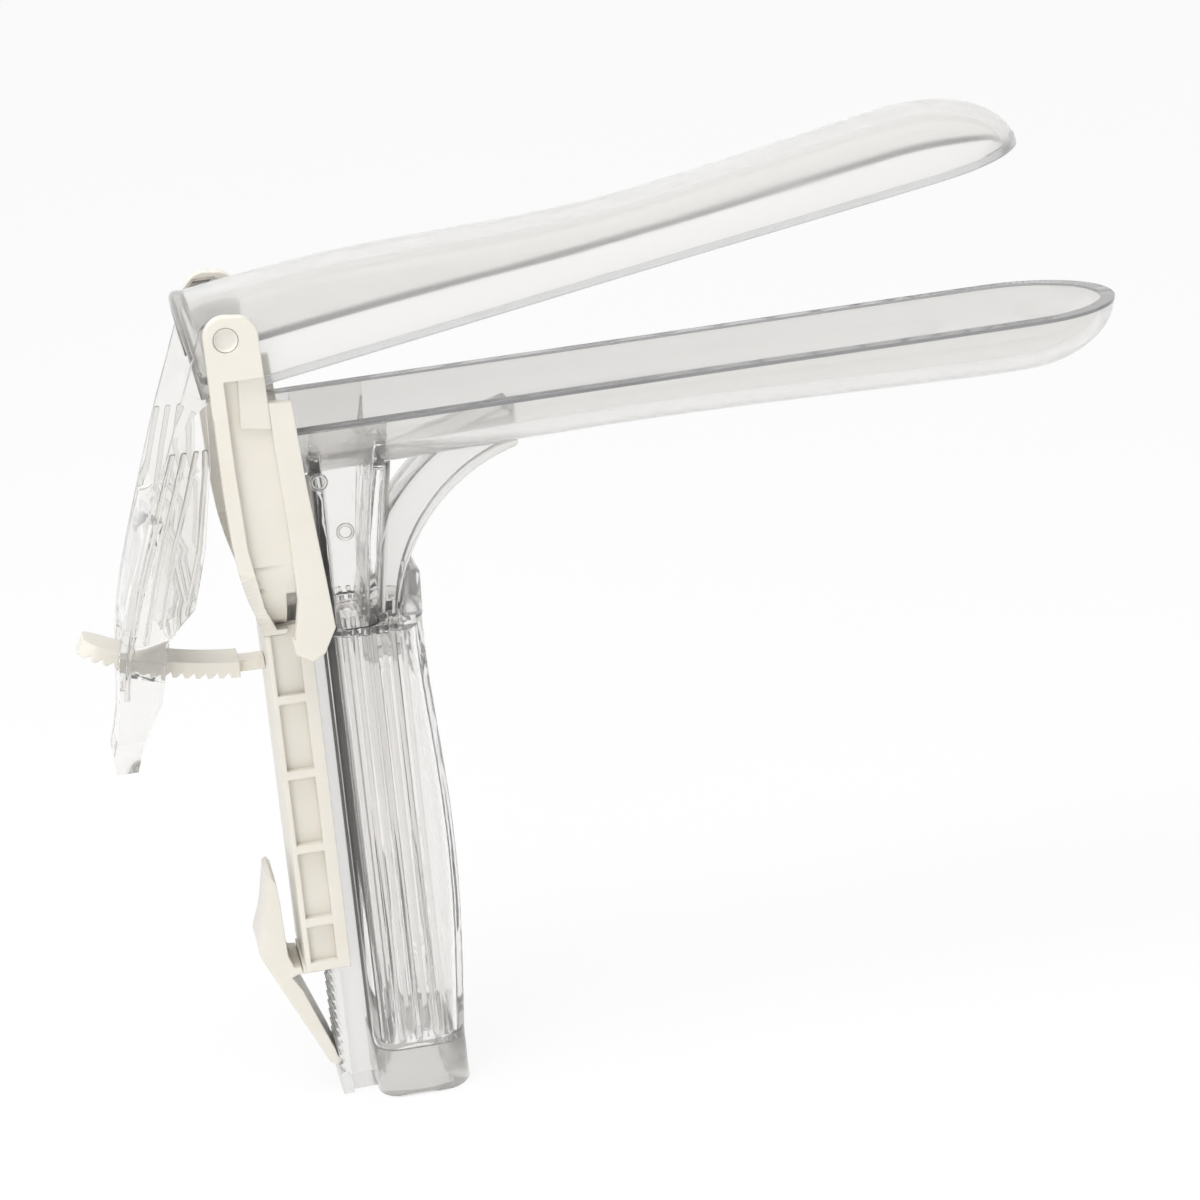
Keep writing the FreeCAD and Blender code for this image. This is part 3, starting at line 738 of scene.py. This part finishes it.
@dataclass
class LightGuide:
    """The curved light pipe: a square bar spun about a centre in front of the handle."""

    centre: tuple[float, float] = (48.0, -50.0)
    inner: float = 27.3
    thick: float = 5.7
    half_width: float = 5.0
    foot: float = -52.5
    end: float = 40.8
    edge: float = 0.6
    sweep: float = 82.0
    steps: int = 28
    weld: float = 0.02

    def build(self, material: bpy.types.Material) -> bpy.types.Object:
        """Spin the bar, cut its end face upright and round its edges.

        Args:
            material: The finish.

        Returns:
            The piece.
        """
        left = self.centre[0] - self.inner - self.thick
        Bench.deselect()
        bpy.ops.mesh.primitive_plane_add(size=1, location=at(left + self.thick / 2, 0, self.foot))
        bar = bpy.context.object
        bar.scale = (self.thick * MM, 2 * self.half_width * MM, 1)
        bpy.ops.object.transform_apply(location=True, rotation=True, scale=True)
        bpy.ops.object.mode_set(mode="EDIT")
        bpy.ops.mesh.select_all(action="SELECT")
        bpy.ops.mesh.extrude_region_move(
            TRANSFORM_OT_translate={"value": (0, 0, (self.centre[1] - self.foot) * MM)})
        bpy.ops.mesh.spin(steps=self.steps, angle=-math.radians(self.sweep),
                          center=at(self.centre[0], 0, self.centre[1]), axis=(0, 1, 0))
        bpy.ops.mesh.select_all(action="SELECT")
        bpy.ops.mesh.remove_doubles(threshold=0.001 * MM)
        bpy.ops.mesh.select_all(action="SELECT")
        bpy.ops.mesh.bisect(plane_co=at(self.end, 0, 0), plane_no=(1, 0, 0), clear_outer=True, use_fill=True)
        bpy.ops.mesh.select_all(action="SELECT")
        bpy.ops.mesh.normals_make_consistent(inside=False)
        bpy.ops.object.mode_set(mode="OBJECT")
        Bench.round_edges(bar, self.edge, 3, 40)
        bpy.ops.object.mode_set(mode="EDIT")
        Bench.weld(self.weld)
        Bench.settle(bar, "light_pipe")
        Bench.smooth(bar, 30)
        return finish_piece(bar, "handle", material, ("light_guide",))


@dataclass
class RibRow:
    """A row of upright ribs inside both side walls of the grip, which give it its streaks."""

    first: float = 12.4
    pitch: float = 1.35
    count: int = 7
    width: float = 0.75
    depth: float = 0.7
    wall_y: float = 8.4
    top: float = -44.5
    foot: float = -111.4
    edge: float = 0.25

    def build(self, material: bpy.types.Material) -> bpy.types.Object:
        """Model one rib, then copy it along both walls.

        Args:
            material: The finish.

        Returns:
            The piece.
        """
        Bench.deselect()
        middle = (self.top + self.foot) / 2
        bpy.ops.mesh.primitive_cube_add(size=1, location=at(self.first, self.wall_y - self.depth / 2, middle))
        rib = bpy.context.object
        rib.scale = (self.width * MM, self.depth * MM, (self.top - self.foot) * MM)
        Bench.settle(rib, "rib")
        Bench.round_edges(rib, self.edge, 2)
        ribs = [rib]
        for index in range(1, self.count):
            ribs.append(Bench.copy_of(rib, Vector((index * self.pitch * MM, 0, 0))))
        far = Bench.join(ribs, "grip_ribs")
        near = Bench.copy_of(far, Vector((0, -(2 * self.wall_y - self.depth) * MM, 0)))
        row = Bench.join([far, near], "grip_ribs")
        Bench.smooth(row)
        return finish_piece(row, "handle", material)


@dataclass
class LeverRibs:
    """Stiffening ribs that follow the lever's rear, its fold and its front on both cheeks.

    Each line is drawn through points forward of and above the hinge line, and profile is the
    lever's outline seen from behind: heights above the hinge line and half the width there.
    """

    lines: Sequence[Sequence[tuple[float, float]]] = (
        ((-9.0, -15.6), (-12.2, -25.0), (-15.6, -35.0), (-18.4, -45.5), (-19.6, -53.0)),
        ((-7.4, -15.6), (-10.4, -25.0), (-13.4, -35.0), (-16.0, -44.5)),
        ((-5.7, -15.6), (-7.9, -23.0), (-10.5, -31.0), (-13.4, -42.3)),
        ((-4.5, -15.6), (-4.9, -19.0), (-6.9, -31.0), (-9.3, -39.4)),
    )
    profile: Sequence[tuple[float, float]] = ((-14.0, 15.4), (-40.0, 9.1), (-61.4, 4.6))
    width: float = 0.8
    proud: float = 0.4
    edge: float = 0.25

    def half_width(self, up: float) -> float:
        """How far the cheek's outer face stands from the middle.

        Args:
            up: The height above the hinge line, in millimetres.

        Returns:
            Half the lever's width, in millimetres.
        """
        (top, wide), (fold, middle), (foot, narrow) = self.profile
        if up > top:
            return wide
        if up > fold:
            return wide + (up - top) / (top - fold) * (wide - middle)
        return middle + (up - fold) / (fold - foot) * (middle - narrow)

    def draw(self, line: Sequence[tuple[float, float]], side: int) -> bpy.types.Object:
        """Draw one rib: a small square extruded from point to point.

        Args:
            line: Points forward of and above the hinge line, in millimetres.
            side: -1 for the near cheek, 1 for the far one.

        Returns:
            The rib.
        """
        forward, up = line[0]
        Bench.deselect()
        bpy.ops.mesh.primitive_plane_add(size=1)
        rib = bpy.context.object
        rib.scale = (self.width * MM, 2 * self.proud * MM, 1)
        rib.location = at(forward, side * self.half_width(up), up)
        bpy.ops.object.transform_apply(location=True, rotation=True, scale=True)
        bpy.ops.object.mode_set(mode="EDIT")
        bpy.ops.mesh.select_all(action="SELECT")
        for next_forward, next_up in line[1:]:
            aside = side * (self.half_width(next_up) - self.half_width(up))
            bpy.ops.mesh.extrude_region_move(TRANSFORM_OT_translate={
                "value": Vector((next_forward - forward, aside, next_up - up)) * MM})
            forward, up = next_forward, next_up
        bpy.ops.mesh.select_all(action="SELECT")
        bpy.ops.mesh.normals_make_consistent(inside=False)
        bpy.ops.object.mode_set(mode="OBJECT")
        Bench.round_edges(rib, self.edge, 2, 50)
        return Bench.settle(rib, "rib")

    def build(self, material: bpy.types.Material) -> bpy.types.Object:
        """Draw all ribs on both cheeks, as one piece.

        Args:
            material: The finish.

        Returns:
            The piece.
        """
        ribs = [self.draw(line, side) for line in self.lines for side in (-1, 1)]
        piece = Bench.join(ribs, "lever_ribs")
        Bench.smooth(piece)
        return finish_piece(piece, "upper_blade", material)


@dataclass
class HingePins:
    """The two stub pins, each with a dished end in its ear."""

    radius: float = 1.68
    inner_y: float = 15.4
    outer_y: float = 18.2
    rim: float = 0.45
    dish: float = 0.5
    edge: float = 0.15

    def draw(self, side: int) -> bpy.types.Object:
        """Model one pin, with its end inset and sunk.

        Args:
            side: -1 for the near pin, 1 for the far one.

        Returns:
            The pin.
        """
        Bench.deselect()
        middle = side * (self.inner_y + self.outer_y) / 2
        bpy.ops.mesh.primitive_cylinder_add(vertices=40, radius=self.radius * MM,
                                            depth=(self.outer_y - self.inner_y) * MM,
                                            location=at(0, middle, 0), rotation=(math.pi / 2, 0, 0))
        pin = bpy.context.object
        Bench.settle(pin, "pin")
        face_y = at(0, side * self.outer_y, 0).y
        Bench.pick(pin, lambda centre: abs(centre.y - face_y) < SAME_PLANE * MM)
        bpy.ops.mesh.inset(thickness=self.rim * MM)
        bpy.ops.transform.translate(value=(0, -side * self.dish * MM, 0))
        bpy.ops.object.mode_set(mode="OBJECT")
        Bench.round_edges(pin, self.edge, 3, 40)
        return pin

    def build(self, material: bpy.types.Material) -> bpy.types.Object:
        """Model both pins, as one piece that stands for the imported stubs.

        Args:
            material: The finish.

        Returns:
            The piece.
        """
        pins = Bench.join([self.draw(-1), self.draw(1)], "hinge_pins")
        Bench.smooth(pins, 35)
        return finish_piece(pins, "upper_blade", material, ("hinge_stubs",))


@dataclass
class BaseBead:
    """The thick rounded edge round the open back of the upper bill."""

    half_width: float = 14.4
    height: float = 11.6
    along: float = -3.0
    radius: float = 1.15
    tilt: float = 9.4
    drop: float = 8.3
    cut_up: float = 0.5

    def build(self, material: bpy.types.Material) -> bpy.types.Object:
        """Stretch a ring to the bill's section and keep its upper half.

        Args:
            material: The finish.

        Returns:
            The piece.
        """
        Bench.deselect()
        bpy.ops.mesh.primitive_torus_add(major_segments=72, minor_segments=16,
                                         major_radius=self.height * MM, minor_radius=self.radius * MM,
                                         rotation=(0, math.pi / 2, 0))
        bead = bpy.context.object
        bpy.ops.object.transform_apply(location=False, rotation=True, scale=False)
        bead.scale = (1, self.half_width / self.height, 1)
        bead.location = (self.along * MM, 0, 0)
        bpy.ops.object.transform_apply(location=True, rotation=False, scale=True)
        bpy.ops.object.mode_set(mode="EDIT")
        bpy.ops.mesh.select_all(action="SELECT")
        bpy.ops.mesh.bisect(plane_co=(0, 0, self.cut_up * MM), plane_no=(0, 0, 1), clear_inner=True,
                            use_fill=True)
        bpy.ops.object.mode_set(mode="OBJECT")
        tip_up(bead, self.tilt, self.drop)
        Bench.settle(bead, "bill_base_bead")
        Bench.smooth(bead)
        return finish_piece(bead, "upper_blade", material)


@dataclass
class NeckMarks:
    """Two small raised rings on the neck's near wall, left by the mould's pins."""

    places: Sequence[tuple[float, float, float]] = ((10.6, -14.75, -22.5), (13.6, -14.05, -30.3))
    radius: float = 1.05
    wire: float = 0.28

    def build(self, material: bpy.types.Material) -> bpy.types.Object:
        """Model one ring and copy it to the other place.

        Args:
            material: The finish.

        Returns:
            The piece.
        """
        Bench.deselect()
        bpy.ops.mesh.primitive_torus_add(major_segments=28, minor_segments=10, major_radius=self.radius * MM,
                                         minor_radius=self.wire * MM, location=at(*self.places[0]),
                                         rotation=(math.pi / 2, 0, 0))
        ring = Bench.settle(bpy.context.object, "neck_marks")
        shift = (Vector(self.places[1]) - Vector(self.places[0])) * MM
        marks = Bench.join([ring, Bench.copy_of(ring, shift)], "neck_marks")
        Bench.smooth(marks)
        return finish_piece(marks, "handle", material)


@dataclass
class GripShoulder:
    """The wedge that carries the grip's front up to the underside of the light pipe."""

    low: tuple[float, float] = (20.9, 24.1)
    high: tuple[float, float] = (22.4, 24.5)
    half_width: float = 7.0
    foot: float = -46.6
    top: float = -39.6
    edge: float = 0.7
    narrowing: float = 0.85

    def build(self, material: bpy.types.Material) -> bpy.types.Object:
        """Model a block whose upper end is drawn in towards the front.

        Args:
            material: The finish.

        Returns:
            The piece.
        """
        Bench.deselect()
        middle = (sum(self.low) / 2, 0, (self.foot + self.top) / 2)
        bpy.ops.mesh.primitive_cube_add(size=1, location=at(*middle))
        block = bpy.context.object
        block.scale = ((self.low[1] - self.low[0]) * MM, 2 * self.half_width * MM,
                       (self.top - self.foot) * MM)
        Bench.settle(block, "grip_shoulder")
        top_z = at(0, 0, self.top).z
        Bench.pick(block, lambda centre: abs(centre.z - top_z) < SAME_PLANE * MM)
        narrow = (self.high[1] - self.high[0]) / (self.low[1] - self.low[0])
        bpy.ops.transform.resize(value=(narrow, self.narrowing, 1),
                                 center_override=at(self.low[1], 0, self.top))
        bpy.ops.transform.translate(value=((self.high[1] - self.low[1]) * MM, 0, 0))
        bpy.ops.object.mode_set(mode="OBJECT")
        Bench.round_edges(block, self.edge, 3)
        Bench.smooth(block)
        return finish_piece(block, "handle", material)


@dataclass
class FootCollar:
    """The thick collar round the light socket, at the foot of the grip."""

    rear: float = 9.8
    front: float = 23.3
    half_width: float = 10.0
    corner: float = 4.0
    proud: float = 0.2
    wall: float = 0.7
    low: float = 0.3
    high: float = 7.6
    edge: float = 0.15

    def build(self, material: bpy.types.Material) -> bpy.types.Object:
        """Model a sleeve with rounded corners, open above and below.

        Args:
            material: The finish.

        Returns:
            The piece.
        """
        Bench.deselect()
        foot = -PIVOT.z / MM
        middle = ((self.rear + self.front) / 2, 0, foot + (self.low + self.high) / 2)
        bpy.ops.mesh.primitive_cube_add(size=1, location=at(*middle))
        sleeve = bpy.context.object
        sleeve.scale = ((self.front - self.rear + 2 * self.proud) * MM,
                        2 * (self.half_width + self.proud) * MM, (self.high - self.low) * MM)
        Bench.settle(sleeve, "foot_collar")
        low_z, high_z = at(0, 0, foot + self.low).z, at(0, 0, foot + self.high).z
        Bench.pick(sleeve, lambda centre: any(abs(centre.z - level) < SAME_PLANE * MM
                                              for level in (low_z, high_z)))
        bpy.ops.mesh.delete(type="ONLY_FACE")
        bpy.ops.mesh.select_all(action="SELECT")
        bpy.ops.mesh.normals_make_consistent(inside=False)
        bpy.ops.object.mode_set(mode="OBJECT")
        Bench.round_edges(sleeve, self.corner, 8, 60)
        Bench.apply(sleeve, "SOLIDIFY", thickness=self.wall * MM, offset=-1.0, use_even_offset=True)
        Bench.round_edges(sleeve, self.edge, 2, 60)
        Bench.smooth(sleeve)
        return finish_piece(sleeve, "handle", material)


LEVER = MouldedPart("thumb_lever", "upper_blade")
GRIP = MouldedPart("handle_shell", "handle", thin=0.02)
RAIL = MouldedPart("guide_rail", "handle")
NECK = MouldedPart("neck_gusset", "handle")
IVORY_YOKE = MouldedPart("yoke_frame", "yoke", crease=0.5, panel_back=1.7)
IVORY_NODES = ("slide_channel", "ratchet_strap", "release_latch")


def main() -> None:
    """Load the frame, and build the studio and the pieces."""
    logging.basicConfig(level=logging.INFO, format="%(name)s: %(message)s")
    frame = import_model()
    Studio().build()
    # Nearly water-clear moulding: lets the white through and draws its edges in grey.
    clear = ClearAcrylic("clear_acrylic").build()
    # Faintly milky moulding: the bills read as soft pale shapes on white.
    hazy = ClearAcrylic("hazy_acrylic", tint="F6F5F3", clarity=0.82, roughness=0.07).build()
    # Strip along the rim of the lower wall, tinted grey as a painted shade line, with the painted shade
    # darker on the near side.
    edge = ClearAcrylic("rim_painted_shade_acrylic", tint="B0B0B2", clarity=0.7, roughness=0.05,
                        painted_far_tint="DEDEE0").build()
    # Strip along the rim of the upper wall: painted almost white on the near side, with a painted dark shade
    # line on the far side.
    upper_rim_painted_shade = ClearAcrylic("far_rim_painted_shade_acrylic", tint="F8F8F9", clarity=0.8, roughness=0.05,
                             painted_far_tint="1A1A1C").build()
    # Thin walls of the neck: bright, with fine upright streaks.
    thin = ClearAcrylic("thin_wall_acrylic", tint="FCFBFA", clarity=0.95, roughness=0.05, ior=1.2,
                        lay=Lay.ALONG_HANDLE).build()
    # Walls of the grip: bright and glossy, with long reflections down the handle.
    grip = ClearAcrylic("grip_acrylic", tint="FCFBFA", clarity=0.92, roughness=0.04, ior=1.27,
                        lay=Lay.ALONG_HANDLE).build()
    # Thick collar at the foot: an even pale grey.
    smoky = ClearAcrylic("smoky_acrylic", tint="E6E5E2", clarity=0.75, roughness=0.08,
                         lay=Lay.EVEN).build()
    # Pins of the hinge, seen end on in the ears: almost opaque, warm white.
    milky = ClearAcrylic("milky_acrylic", tint="EFEBE2", clarity=0.1, roughness=0.2,
                         lay=Lay.EVEN).build()
    # Yoke, slide, strap and latch: satin ivory with a fine grain and soft bright edges.
    ivory = IvoryPolymer("ivory_polymer").build()
    nodes = frame["nodes"]
    # Each bill's rim strip gets a material with a painted shade line.
    for bill, rim in ((lower_bill(), edge), (upper_bill(), upper_rim_painted_shade)):
        bill.build(hazy)
        bill.build_rim(rim)
    for part, material in ((LEVER, clear), (GRIP, grip), (RAIL, hazy), (NECK, thin)):
        part.build(nodes[part.node], CLEAR_SLOT, material)
    LightGuide().build(hazy)
    RibRow().build(grip)
    LeverRibs().build(clear)
    BaseBead().build(clear)
    HingePins().build(milky)
    NeckMarks().build(clear)
    GripShoulder().build(hazy)
    FootCollar().build(smoky)
    IVORY_YOKE.build(nodes[IVORY_YOKE.node], IVORY_SLOT, ivory)
    for name in IVORY_NODES:
        dress(nodes[name], ivory)
        LOG.info("%s stays as packed", name)


if __name__ == "__main__":
    main()
